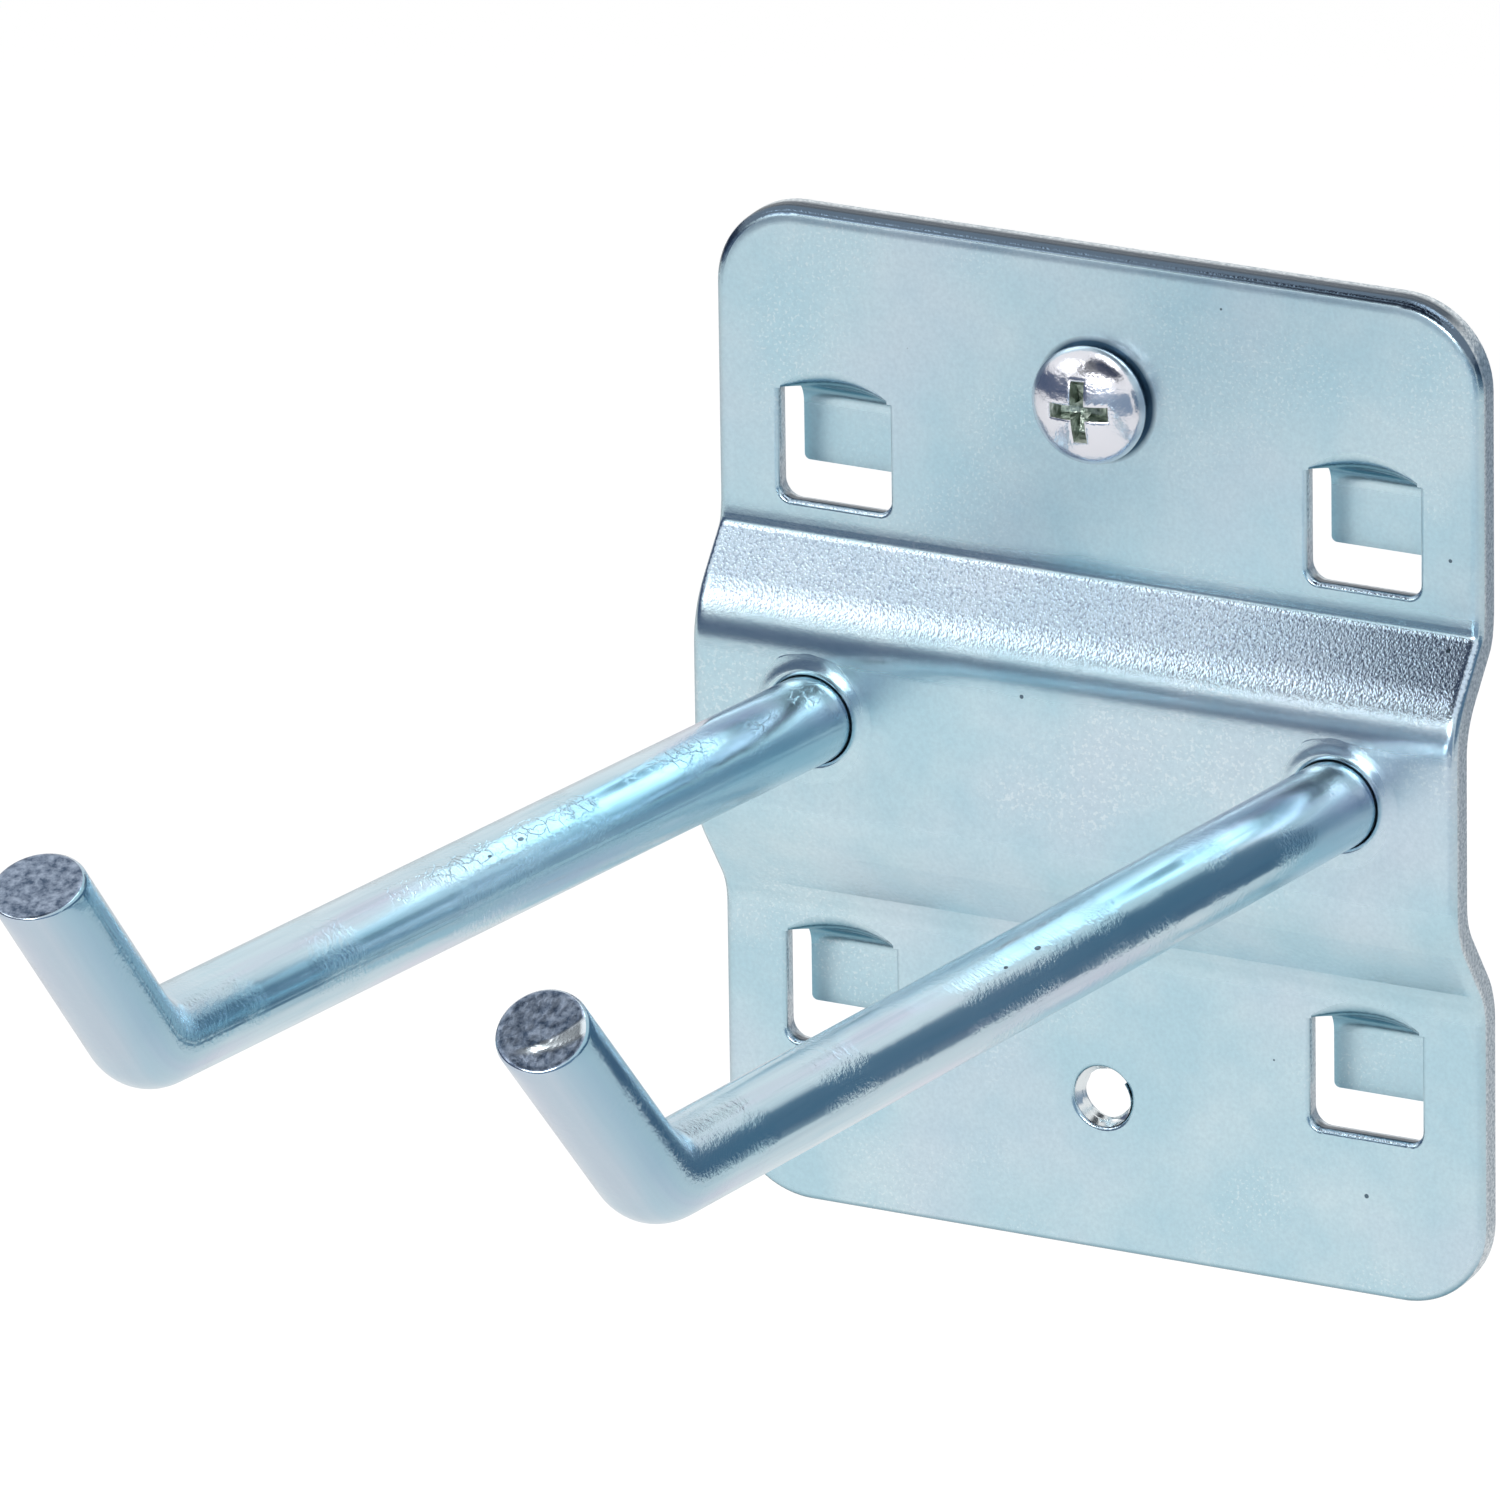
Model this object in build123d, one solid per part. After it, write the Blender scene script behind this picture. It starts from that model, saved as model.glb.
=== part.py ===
from build123d import *
import os
from math import atan, atan2, cos, degrees, radians, sin, sqrt, tan

# Double tool hook for a square-hole tool panel: one folded sheet plate, two bent round bars and a screw.
# Millimetres. X runs across the plate, Z is up, and the bars reach out to -Y. The origin lies on the back
# plane of the plate's two flats, at the centre of the four panel lugs. Each bend is given by its inside
# radius, and the sheet's thickness is added on the outside.

# Sheet blank
plate_width = 55.0
plate_height = 69.6
plate_lift = 0.3           # plate's centre above the lug pattern's centre
corner_radius = 6.0
sheet = 1.75               # thickness of the blank
edge_roll = 0.6            # rounding that shearing leaves on the front edges

# Raised band pressed across the middle; it rises just above the heads of the bars that it holds
band_rise = 4.3
lower_crease_z = -13.0     # on the front face
lower_slope = 35.0         # degrees away from the flats; the upper slope follows from the room for it
crease_gap = 2.25          # upper crease below the windows
lead_in_height = 1.15      # shallow start of the upper fold, above its crease
lead_in_slope = 9.0
lead_in_radius = 7.0
upper_crease_radius = 1.0
lower_crease_radius = 4.0
upper_shoulder_radius = 5.25
lower_shoulder_radius = 4.25
head_room = 0.08           # flat left behind the band between a bar's head and the upper bend

# Panel lugs: tongues lanced from four windows and bent back behind the panel
lug_pitch = 38.0           # the panel's hole spacing, across and up
window_width = 7.85
window_below = 4.15        # window's lower edge, below the lug's place in the pattern
window_corner_radius = 0.8
window_roll = 0.35
window_break = 0.45        # how far the torn back of a window stands outside its front
root_above = 5.4           # where the tongue leaves the plate, above the lug's place
hollow_end = 0.2           # size of the root's hollow at the tongue's sides, against its middle
hollow_skin = 0.02         # sheet left in front of the tongue in the hollow
lug_side_gap = 0.06        # shear gap between a tongue and its window
panel_gap = 1.75           # room for the panel's sheet between plate and lug
lug_end_rise = 1.5         # lug's lower end above its window's lower edge
lug_slope = 70.0
lug_root_radius = 0.25     # where the tongue leaves the plate
lug_heel_radius = 2.0      # where it turns down again
lug_corner_radius = 0.4

# Bars
bar_diameter = 6.0
bar_spacing = 37.8
bar_z = 1.4                # height of the axes where they leave the band
bar_length = 96.4          # from the band to the corner of the bend, along the axis
bend_radius = 6.0          # on the axis
tip_length = 20.4          # from the corner of the bend to the end
left_lean = 7.0            # degrees that each bar rises, as set
right_lean = 5.2
bar_toe = 0.8              # degrees that each bar turns in towards the other
left_tip_rise = 49.0       # degrees of each tip above level
right_tip_rise = 47.0
left_end_cut = 20.0        # degrees that the sheared end faces upwards from square
right_end_cut = 4.0
end_edge_radius = 0.3
bar_hole_clearance = 0.04  # radial
bar_hole_roll = 0.35
bar_head_rim = 0.9         # how far the rear head, formed against the back of the band, stands out
bar_head_thickness = 1.6
bar_head_edge = 0.7

# Locking screw and the two holes that it can go in
screw_diameter = 4.0
screw_length = 6.0         # under the head
screw_point_chamfer = 0.6
screw_head_diameter = 8.0
screw_head_side = 1.4      # height of the head's straight side
screw_head_height = 3.1
screw_head_edge = 0.35
recess_span = 4.4
recess_wing = 1.0
recess_depth = 2.1
recess_turn = 3.0
screw_hole_clearance = 0.08
screw_hole_roll = 0.3
upper_hole_z = 25.0
lower_hole_z = -23.6

plate_top = plate_lift + plate_height / 2
plate_bottom = plate_lift - plate_height / 2
front = -sheet                     # Y of the flats' front face
band_front = front - band_rise
band_back = -band_rise
bar_head_radius = bar_diameter / 2 + bar_head_rim
screw_hole_radius = screw_diameter / 2 + screw_hole_clearance
lug_offsets = (-lug_pitch / 2, lug_pitch / 2)
lug_places = [(x, z) for x in lug_offsets for z in lug_offsets]
touch = 1e-3                       # how near an edge must lie to count as being on a face
on_floor = (Align.CENTER, Align.CENTER, Align.MIN)


def folded(front_line):
    """Side view of the blank, as a face on the YZ plane: the line of its front with the sheet behind it."""
    return Plane.YZ * make_face(offset(front_line, sheet, side=Side.LEFT, closed=True))


def fold_turn(height, rise, radius):
    """Angle of a slope that rises so far between a crease and a shoulder of this radius, in this height."""
    spread = 2 * radius - rise
    return 2 * atan((height - sqrt(height**2 - spread * rise)) / spread)


def sheet_profile(bars):
    """Side view of the folded blank. The upper fold fits between the bars' heads and the windows."""
    band_top = max(bar.root.Z for bar in bars) + bar_head_radius + head_room
    upper_crease_z = lug_pitch / 2 - window_below - crease_gap
    upper_front_radius = upper_shoulder_radius + sheet
    lead_in = lead_in_height * tan(radians(lead_in_slope))
    half_turn = fold_turn(upper_crease_z - band_top, band_rise - lead_in, upper_front_radius) / 2
    upper_shoulder_z = band_top + upper_front_radius * tan(half_turn)
    lower_shoulder_z = lower_crease_z + band_rise / tan(radians(lower_slope))
    corners = [
        ((front, plate_top), 0),
        ((front, upper_crease_z + lead_in_height), lead_in_radius),
        ((front - lead_in, upper_crease_z), upper_crease_radius),
        ((band_front, upper_shoulder_z), upper_front_radius),
        ((band_front, lower_shoulder_z), lower_shoulder_radius + sheet),
        ((front, lower_crease_z), lower_crease_radius),
        ((front, plate_bottom), 0),
    ]
    return folded(rounded_line(corners))


def rounded_line(corners, close=False):
    """Line through corners that are given as (point, corner radius) pairs."""
    points = [point for point, _ in corners]
    radii = [radius for _, radius in corners]
    return FilletPolyline(*points, radius=radii if close else radii[1:-1], close=close)


def hollow_low(z):
    """Height at which a tongue's front passes the plate's back plane."""
    turn = radians(lug_slope)
    return z + root_above - (lug_root_radius + sheet) * tan(turn / 2) - sheet / tan(turn)


def window(x, z):
    """Cutter for one window: sheared at the front, torn wider towards the back."""
    half = window_width / 2
    low = z - window_below
    high = hollow_low(z) + 2 * hollow_skin
    corners = [
        ((x - half, high), 0),
        ((x + half, high), 0),
        ((x + half, low), window_corner_radius),
        ((x - half, low), window_corner_radius),
    ]
    opening = Plane.XZ.offset(sheet) * make_face(rounded_line(corners, close=True))
    tear = degrees(atan2(window_break, sheet))
    return extrude(opening, -sheet, taper=-tear)


def hollow_section(x, z, size):
    """Side view of the hollow where a tongue bends away, shrunk towards the window's upper edge."""
    low = hollow_low(z)
    high = low + size * (z + root_above - low)
    lead = front - size
    start = (front - hollow_skin, high)
    bend = JernArc(start, (0, -1), size * (lug_root_radius + sheet), lug_slope)
    rest = Polyline(bend @ 1, (front + size * sheet - hollow_skin, low), (lead, low), (lead, high), start)
    return Plane.YZ.offset(x) * make_face(bend + rest)


def root_hollow(x, z):
    """Cutter for the hollow in front of a tongue's root, deepest in the middle."""
    half = window_width / 2 - lug_side_gap
    steps = ((-half, hollow_end), (0, 1), (half, hollow_end))
    return loft([hollow_section(x + shift, z, size) for shift, size in steps])


def lug(x, z):
    """One tongue: it leaves the plate above its window, steps back past the panel and turns down again."""
    slope = radians(lug_slope)
    root_z = z + root_above
    step_z = root_z - (lug_root_radius + sheet) * tan(slope / 2)
    corners = [
        ((front, root_z + sheet), 0),
        ((front, step_z), lug_root_radius + sheet),
        ((panel_gap, step_z - (panel_gap - front) / tan(slope)), lug_heel_radius),
        ((panel_gap, z - window_below + lug_end_rise), 0),
    ]
    half = window_width / 2 - lug_side_gap
    tongue = Pos(X=x) * extrude(folded(rounded_line(corners)), half, both=True)
    end_corners = tongue.edges().filter_by(Axis.Y).group_by(Axis.Z)[0]
    return fillet(end_corners, lug_corner_radius)


class Bar:
    """Axis of one bent bar, from the headed end behind the band to the tip."""

    def __init__(self, side, lean, tip_rise, end_cut):
        self.toe = -side * bar_toe
        self.end_cut = end_cut
        self.foot = Vector(side * bar_spacing / 2, band_front, bar_z)
        self.run = self.heading(lean)
        self.tip_run = self.heading(tip_rise)
        self.tip_rise = tip_rise
        self.corner = self.foot + self.run * bar_length
        self.end = self.corner + self.tip_run * tip_length
        self.root = self.foot + self.run * ((band_back - band_front) / self.run.Y)

    def heading(self, rise):
        """Unit vector out from the plate at this rise, turned in by the toe."""
        level = cos(radians(rise))
        return Vector(level * sin(radians(self.toe)), -level * cos(radians(self.toe)), sin(radians(rise)))


def bent_bar(bar):
    """Bar bent up at its end, sheared off at the tip and headed at the back of the band."""
    start = bar.root - bar.run * bar_head_thickness / 2
    overshoot = bar.end + bar.tip_run * bar_diameter
    axis = FilletPolyline(start, bar.corner, overshoot, radius=bend_radius)
    sideways = bar.run.cross(Vector(0, 0, 1))
    section = Plane(origin=start, x_dir=sideways, z_dir=bar.run) * Circle(bar_diameter / 2)
    round_bar = sweep(section, path=axis)
    shear = Plane(origin=bar.end, z_dir=bar.heading(bar.tip_rise + bar.end_cut))
    round_bar = split(round_bar, bisect_by=shear, keep=Keep.BOTTOM)
    end_face = round_bar.faces().sort_by_distance(bar.end)[0]
    round_bar = fillet(end_face.edges(), end_edge_radius)
    head_seat = Plane(origin=bar.root, z_dir=(0, 1, 0))
    head = extrude(head_seat * Circle(bar_head_radius), bar_head_thickness)
    head = fillet(head.faces().sort_by(Axis.Y)[-1].edges(), bar_head_edge)
    return round_bar + head


def bar_hole(bar):
    """Clearance hole for one bar, along its axis."""
    through = Plane(origin=(bar.foot + bar.root) * 0.5, z_dir=bar.run)
    return through * Cylinder(bar_diameter / 2 + bar_hole_clearance, sheet * 3)


def screw_hole(z):
    """Hole for the locking screw, square to the flats."""
    through = Plane(origin=(0, front / 2, z), z_dir=(0, 1, 0))
    return through * Cylinder(screw_hole_radius, sheet * 3)


def front_outline(plate):
    """Edges where the sheared outline meets the front of the folded blank."""
    sheared = plate.faces().filter_by(lambda face: abs(face.normal_at(face.center()).Y) < 0.01)
    facing = plate.faces().filter_by(lambda face: face.normal_at(face.center()).Y < -0.5)
    sheared_edges = sheared.edges()
    return ShapeList(edge for edge in facing.edges() if edge in sheared_edges)


def rim(plate, y, x, z, half_width, half_height):
    """Edges of one opening on the front face that lies at this depth."""
    level = plate.edges().filter_by_position(Axis.Y, y - touch, y + touch)
    column = level.filter_by_position(Axis.X, x - half_width - touch, x + half_width + touch)
    return column.filter_by_position(Axis.Z, z - half_height - touch, z + half_height + touch)


def base_plate(bars):
    """Folded blank with its windows, holes and lugs."""
    outline = Plane.XZ * Pos(Y=plate_lift) * RectangleRounded(plate_width, plate_height, corner_radius)
    blank = extrude(sheet_profile(bars), plate_width / 2, both=True)
    plate = blank & extrude(outline, sheet + band_rise, both=True)
    plate = fillet(front_outline(plate), edge_roll)
    for x, z in lug_places:
        plate -= window(x, z)
        window_rim = rim(plate, front, x, z, window_width / 2, root_above)
        plate = fillet(window_rim.sort_by(Axis.Z)[:-1], window_roll)
        plate -= root_hollow(x, z)
    for z in (upper_hole_z, lower_hole_z):
        plate -= screw_hole(z)
        plate = fillet(rim(plate, front, 0, z, screw_hole_radius, screw_hole_radius), screw_hole_roll)
    for bar in bars:
        plate -= bar_hole(bar)
        hole_rim = rim(plate, band_front, bar.foot.X, bar.foot.Z, bar_diameter, bar_diameter)
        plate = fillet(hole_rim, bar_hole_roll)
    for x, z in lug_places:
        plate += lug(x, z)
    return plate


def locking_screw():
    """Pan-head screw driven home in the upper hole, made along +Z with its seat at zero."""
    head_radius = screw_head_diameter / 2
    shank_radius = screw_diameter / 2
    crown = screw_head_height - screw_head_side
    dome_radius = (head_radius**2 + crown**2) / (2 * crown)
    dome_start = (head_radius, screw_head_side)
    dome_top = (0, screw_head_height)
    side = Polyline(
        dome_top,
        (0, -screw_length),
        (shank_radius - screw_point_chamfer, -screw_length),
        (shank_radius, screw_point_chamfer - screw_length),
        (shank_radius, 0),
        (head_radius, 0),
        dome_start,
    )
    profile = make_face(side + RadiusArc(dome_start, dome_top, -dome_radius))
    screw = revolve(Plane.XZ * profile, Axis.Z)
    shoulder = screw.edges().filter_by_position(Axis.Z, screw_head_side - touch, screw_head_side + touch)
    screw = fillet(shoulder, screw_head_edge)
    wings = Rectangle(recess_span, recess_wing) + Rectangle(recess_wing, recess_span)
    floor = screw_head_height - recess_depth
    wings = Pos(Z=floor) * Rot(Z=recess_turn) * extrude(wings, recess_depth)
    point = Pos(Z=floor) * Cone(recess_wing / 2, recess_span / 2, recess_depth, align=on_floor)
    seat = Plane(origin=(0, front, upper_hole_z), x_dir=(1, 0, 0), z_dir=(0, -1, 0))
    return seat * (screw - (wings & point))


left_bar = Bar(-1, left_lean, left_tip_rise, left_end_cut)
right_bar = Bar(1, right_lean, right_tip_rise, right_end_cut)
nodes = {
    "base_plate": base_plate((left_bar, right_bar)),
    "left_hook": bent_bar(left_bar),
    "right_hook": bent_bar(right_bar),
    "locking_screw": locking_screw(),
}
os.makedirs("parts", exist_ok=True)
for name, piece in nodes.items():
    export_step(piece, f"parts/{name}.step")
    print(name, "solids", len(piece.solids()), "volume", round(piece.volume, 1), piece.bounding_box())
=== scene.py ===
# %% [markdown]
# # A double tool hook in plated steel
# The part is a pressed sheet plate, two bent bars and one screw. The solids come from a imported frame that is
# never moved, so this lesson is about looks: the camera, a small photo studio for bright metal, the plated
# finishes, and the fine pieces that a plain solid leaves out. All lengths are in metres, in the frame's own axes:
# X runs across the plate, Z is up, and the bars reach out to -Y.

from math import atan2, cos, degrees, pi, radians, sin, tan

import bmesh
import bpy
from mathutils import Matrix, Vector, noise


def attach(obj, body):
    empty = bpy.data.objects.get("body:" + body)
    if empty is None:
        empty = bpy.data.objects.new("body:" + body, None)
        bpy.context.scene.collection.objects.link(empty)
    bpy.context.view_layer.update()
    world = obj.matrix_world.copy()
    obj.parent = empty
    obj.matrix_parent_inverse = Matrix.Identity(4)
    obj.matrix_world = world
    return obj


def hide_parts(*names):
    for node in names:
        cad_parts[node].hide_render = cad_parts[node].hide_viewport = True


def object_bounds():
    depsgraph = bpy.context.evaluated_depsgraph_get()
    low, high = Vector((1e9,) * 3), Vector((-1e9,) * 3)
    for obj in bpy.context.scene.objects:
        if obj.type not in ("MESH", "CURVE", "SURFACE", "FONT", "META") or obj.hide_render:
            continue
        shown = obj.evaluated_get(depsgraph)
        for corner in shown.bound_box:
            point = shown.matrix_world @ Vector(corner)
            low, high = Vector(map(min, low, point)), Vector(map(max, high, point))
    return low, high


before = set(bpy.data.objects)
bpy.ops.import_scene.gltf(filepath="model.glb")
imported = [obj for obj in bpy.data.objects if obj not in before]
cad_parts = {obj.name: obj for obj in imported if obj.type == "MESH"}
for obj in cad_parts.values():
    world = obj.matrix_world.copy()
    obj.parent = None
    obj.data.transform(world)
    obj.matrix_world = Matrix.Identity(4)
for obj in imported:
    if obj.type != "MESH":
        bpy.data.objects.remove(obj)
cad_low, cad_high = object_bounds()
mm = 0.001
print("nodes", sorted(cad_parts), "box in mm", [round(v / mm, 1) for v in cad_high - cad_low])

# %% [markdown]
# ## Small helpers for shaders
# Colours are written as a designer picks them, as sRGB hex values, and shaders work on linear light, so one function
# turns one into the other. The second adds a node, sets its options, and fills or links its inputs in one call, so a
# material below reads as a list of steps.

# %% Colour and node helpers
def linear(hex_colour):
    """An sRGB hex colour as linear red, green, blue and alpha."""
    parts = [int(hex_colour[i:i + 2], 16) / 255 for i in (1, 3, 5)]
    return [c / 12.92 if c <= 0.04045 else ((c + 0.055) / 1.055) ** 2.4 for c in parts] + [1.0]


def add(tree, kind, inputs=None, **options):
    """A new node of this kind. An input takes a plain value, or is linked where the value is a socket."""
    node = tree.nodes.new("ShaderNode" + kind)
    for name, value in options.items():
        setattr(node, name, value)
    for name, value in (inputs or {}).items():
        if isinstance(value, bpy.types.NodeSocket):
            tree.links.new(value, node.inputs[name])
        else:
            node.inputs[name].default_value = value
    return node


def new_material(name):
    """An empty material and its node tree."""
    material = bpy.data.materials.new(name)
    material.use_nodes = True
    material.node_tree.nodes.clear()
    return material, material.node_tree


print("mid grey in linear light:", [round(c, 3) for c in linear("#808080")[:3]])

# %% [markdown]
# ## The camera
# The part was seen from its right and from above, through a long lens, so its edges stay nearly parallel. The four
# windows of the plate stand on a square of known size, and that square gave the angles, the distance and the scale
# below. The picture's centre lies left of the plate's centre, so the camera turns a little to take in both bars; no
# lens shift is needed.

# %% Camera
camera_azimuth = radians(25.67)
camera_elevation = radians(20.87)
camera_roll = radians(-0.51)
camera_distance = 1.5
camera_sensor = 36.0            # millimetres, as camera settings are
camera_lens = 552.6
sheet_front = -1.75 * mm        # the plate's front face, where the sight line was measured
picture_centre_right = -22.76 * mm
picture_centre_up = 0.68 * mm

back = Vector((
    sin(camera_azimuth) * cos(camera_elevation),
    -cos(camera_azimuth) * cos(camera_elevation),
    sin(camera_elevation),
))
right = Vector((cos(camera_azimuth), sin(camera_azimuth), 0))
up = back.cross(right)
right, up = (
    right * cos(camera_roll) + up * sin(camera_roll),
    up * cos(camera_roll) - right * sin(camera_roll),
)
sight = Vector((0, sheet_front, 0))
eye = sight + back * camera_distance
aim = sight + right * picture_centre_right + up * picture_centre_up
look_back = (eye - aim).normalized()
look_right = (right - look_back * right.dot(look_back)).normalized()
look_up = look_back.cross(look_right)
camera_data = bpy.data.cameras.new("camera")
camera_data.sensor_width = camera_sensor
camera_data.lens = camera_lens
camera = bpy.data.objects.new("camera", camera_data)
camera.matrix_world = Matrix((
    (look_right.x, look_up.x, look_back.x, eye.x),
    (look_right.y, look_up.y, look_back.y, eye.y),
    (look_right.z, look_up.z, look_back.z, eye.z),
    (0, 0, 0, 1),
))
bpy.context.scene.collection.objects.link(camera)
bpy.context.scene.camera = camera
bpy.context.scene.view_settings.view_transform = "Standard"
print("camera at", [round(v, 3) for v in eye], "field of view", round(degrees(camera_data.angle), 2), "degrees")

# %% [markdown]
# ## A studio for bright metal
# Plated metal has hardly any colour of its own to show: it shows the room. Photographers stand such parts over a
# white table inside a white tent, and hang dark flags where an edge should read as a line. The same is done here.
# The world is the white tent and the floor the white table. Belts stand round the horizon where the table ends: a
# dark one in front, where the folds of the plate look, a paler one on the camera's side, which the bars show by way of
# the plate, and one behind, where the outer halves of the bars look. A card on the table carries that last one further
# down. A dark ceiling hangs over the front, where the cropped bar ends look, and a small card close above the right
# end of the upper fold darkens that end. The flags are unseen by the camera, so the background stays white. Three
# softboxes give the white lines: one for the fold, one for the bars by way of the plate, one overhead.

# %% Stage helpers
def link(name, mesh):
    """A new object at the origin for a finished mesh."""
    made = bpy.data.objects.new(name, mesh)
    bpy.context.scene.collection.objects.link(made)
    return made


def mesh_from(name, bm):
    """Write a bmesh into a new mesh and free it."""
    mesh = bpy.data.meshes.new(name)
    bm.to_mesh(mesh)
    bm.free()
    return mesh


def glow(name, colour):
    """A plain emission material for cards and flags."""
    material, tree = new_material(name)
    light = add(tree, "Emission", {"Color": linear(colour)})
    add(tree, "OutputMaterial", {"Surface": light.outputs["Emission"]})
    return material


def unseen_flag(name, bm, colour):
    """Stage piece of one plain colour that only reflections see."""
    flag = link(name, mesh_from(name, bm))
    flag.visible_camera = False
    flag.visible_diffuse = False
    flag.visible_shadow = False
    flag.visible_transmission = False
    flag.data.materials.append(glow(name.replace("_", " "), colour))
    return flag


# %% White tent and floor
floor_drop = 0.12               # the part hangs above the table, as it would on a panel
floor_size = 6.0
tent_light = 0.74               # what the tent gives the floor; reflections and the camera see it at full strength
table_glow = 0.1                # light that the table adds to its own, in reflections
table_glow_seen = 0.3           # the same, for the camera
floor_z = cad_low.z - floor_drop
world = bpy.data.worlds.new("white tent")
bpy.context.scene.world = world
world.use_nodes = True
tree = world.node_tree
tree.nodes.clear()
path = add(tree, "LightPath")
seen = add(tree, "Math", {0: path.outputs["Is Camera Ray"], 1: path.outputs["Is Glossy Ray"]}, operation="MAXIMUM")
level = add(tree, "MapRange", {"Value": seen.outputs[0], "To Min": tent_light, "To Max": 1.0})
tent = add(tree, "Background", {"Color": linear("#FFFFFF"), "Strength": level.outputs[0]})
add(tree, "OutputWorld", {"Surface": tent.outputs["Background"]})

floor_bm = bmesh.new()
bmesh.ops.create_grid(floor_bm, x_segments=1, y_segments=1, size=floor_size / 2)
bmesh.ops.translate(floor_bm, vec=(0, 0, floor_z), verts=floor_bm.verts)
floor = link("floor", mesh_from("floor", floor_bm))
floor_white, tree = new_material("white table")
path = add(tree, "LightPath")
paint = add(tree, "BsdfDiffuse", {"Color": linear("#E8E8E8")})
lift = add(
    tree, "MapRange", {"Value": path.outputs["Is Camera Ray"], "To Min": table_glow, "To Max": table_glow_seen}
)
shine = add(tree, "Emission", {"Color": linear("#FFFFFF"), "Strength": lift.outputs[0]})
both = add(tree, "AddShader", {0: paint.outputs[0], 1: shine.outputs[0]})
add(tree, "OutputMaterial", {"Surface": both.outputs[0]})
floor.data.materials.append(floor_white)
print("floor at", round(floor_z / mm, 1), "mm")

# %% Belts round the horizon
belt_steps = 48


def belt(name, radius, low, high, start, stop, colour):
    """Part of a round wall about the plate. Directions run from the front towards the right, in degrees."""
    bm = bmesh.new()
    foot = bm.verts.new((0, -radius, radius * tan(radians(low))))
    head = bm.verts.new((0, -radius, radius * tan(radians(high))))
    post = bm.edges.new((foot, head))
    bmesh.ops.rotate(bm, verts=bm.verts, cent=(0, 0, 0), matrix=Matrix.Rotation(radians(start), 3, "Z"))
    bmesh.ops.spin(
        bm, geom=[post, foot, head], cent=(0, 0, 0), axis=(0, 0, 1), angle=radians(stop - start), steps=belt_steps
    )
    return unseen_flag(name, bm, colour)


belts = [
    belt("front_belt", radius=0.5, low=-8, high=14, start=-125, stop=-6, colour="#4A5975"),
    belt("camera_belt", radius=0.5, low=-14, high=13, start=-6, stop=60, colour="#8399B0"),
    belt("rear_belt", radius=0.9, low=-13, high=18, start=70, stop=174, colour="#647E94"),
]
print("belts:", [(flag.name, len(flag.data.polygons)) for flag in belts])

# %% Level flags: ceiling, card behind on the table, card above the fold
def level_flag(name, height, corners, colour):
    """A level flag with these corners."""
    bm = bmesh.new()
    bm.faces.new([bm.verts.new((x, y, height)) for x, y in corners])
    return unseen_flag(name, bm, colour)


ceiling_corners = [(-0.268, -0.42), (0.03, -0.42), (0.03, -0.04), (0.022, -0.04)]
rear_corners = [(0.034, 0.38), (0.083, 0.946), (0.61, 0.73), (0.25, 0.29)]
fold_corners = [(-0.005, -0.06), (0.035, -0.06), (0.035, -0.015), (-0.005, -0.015)]
level_flags = [
    level_flag("dark_ceiling", height=0.2, corners=ceiling_corners, colour="#262D36"),
    level_flag("rear_card", height=-0.15, corners=rear_corners, colour="#58728A"),
    level_flag("fold_card", height=0.06, corners=fold_corners, colour="#28344C"),
]
print("level flags:", [flag.name for flag in level_flags])

# %% Soft lights
def softbox(name, azimuth, elevation, distance, width, height, power):
    """An area light that faces the plate's centre. Its direction runs as the belts' do, in degrees."""
    data = bpy.data.lights.new(name, "AREA")
    data.shape = "RECTANGLE"
    data.size = width
    data.size_y = height
    data.energy = power
    lamp = bpy.data.objects.new(name, data)
    a, e = radians(azimuth), radians(elevation)
    place = Vector((sin(a) * cos(e), -cos(a) * cos(e), sin(e))) * distance
    lamp.location = place
    lamp.rotation_mode = "QUATERNION"
    lamp.rotation_quaternion = (-place).to_track_quat("-Z", "Y")
    bpy.context.scene.collection.objects.link(lamp)
    return lamp


lamps = [
    softbox("front_softbox", azimuth=-32, elevation=31, distance=1.1, width=0.9, height=0.36, power=2.3),
    softbox("camera_softbox", azimuth=2, elevation=19, distance=1.6, width=0.66, height=0.22, power=6.0),
    softbox("top_softbox", azimuth=90, elevation=77, distance=0.6, width=0.28, height=0.34, power=0.75),
]
print("softboxes, in watts:", [(lamp.name, round(lamp.data.energy, 2)) for lamp in lamps])

# %% [markdown]
# ## The plated sheet
# The plate is cold-rolled steel, pressed and then zinc-plated, and a bath after the zinc leaves a film thin enough to
# tint it blue. The eye sees a satin mirror with a soft cloud of teal and grey, a fine grain, a few specks and long
# faint scratches, and patches of tiny white specks are painted glints. Where the press stretched the sheet, on the
# upper slope, the grains of the steel stand up as orange peel, and the sheared edges are torn, grey and dull. The
# heels of the lugs, which turn down, get a painted shade of dark teal. Normals tell these places apart, because the
# sheet's faces all look to the front or the back and only sheared edges look sideways. The blanking die rolls the
# outline over a little, and along the top that roll is darkened as a painted dark reflection. The torn faces that
# look up are darkened, partly as their real fracture band and partly as painted shade, and a ring of painted shade
# lies round the screw's head where its seat shades the film. The roll and the peel are far finer than the sheet is
# thick, so relief in the finish is enough for them.

# %% Sheet: where the surface is stretched or sheared
per_mm = 1 / mm                 # a pattern scale of per_mm / size gives features of about that size in millimetres
sheet_finish, tree = new_material("blue-passivated zinc on pressed steel sheet")
place = add(tree, "TexCoord").outputs["Object"]
normal = add(tree, "NewGeometry").outputs["Normal"]
facing = add(tree, "SeparateXYZ", {0: normal})
sideways = add(tree, "Math", {0: facing.outputs["Y"]}, operation="ABSOLUTE")
sheared = add(tree, "MapRange", {"Value": sideways.outputs[0], "From Min": 0.45, "From Max": 0.3})
stretched = add(tree, "MapRange", {"Value": facing.outputs["Z"], "From Min": 0.3, "From Max": 0.55})
depth = add(tree, "SeparateXYZ", {0: place})
behind = add(tree, "MapRange", {"Value": depth.outputs["Y"], "From Min": -2.1 * mm, "From Max": -1.5 * mm})
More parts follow.
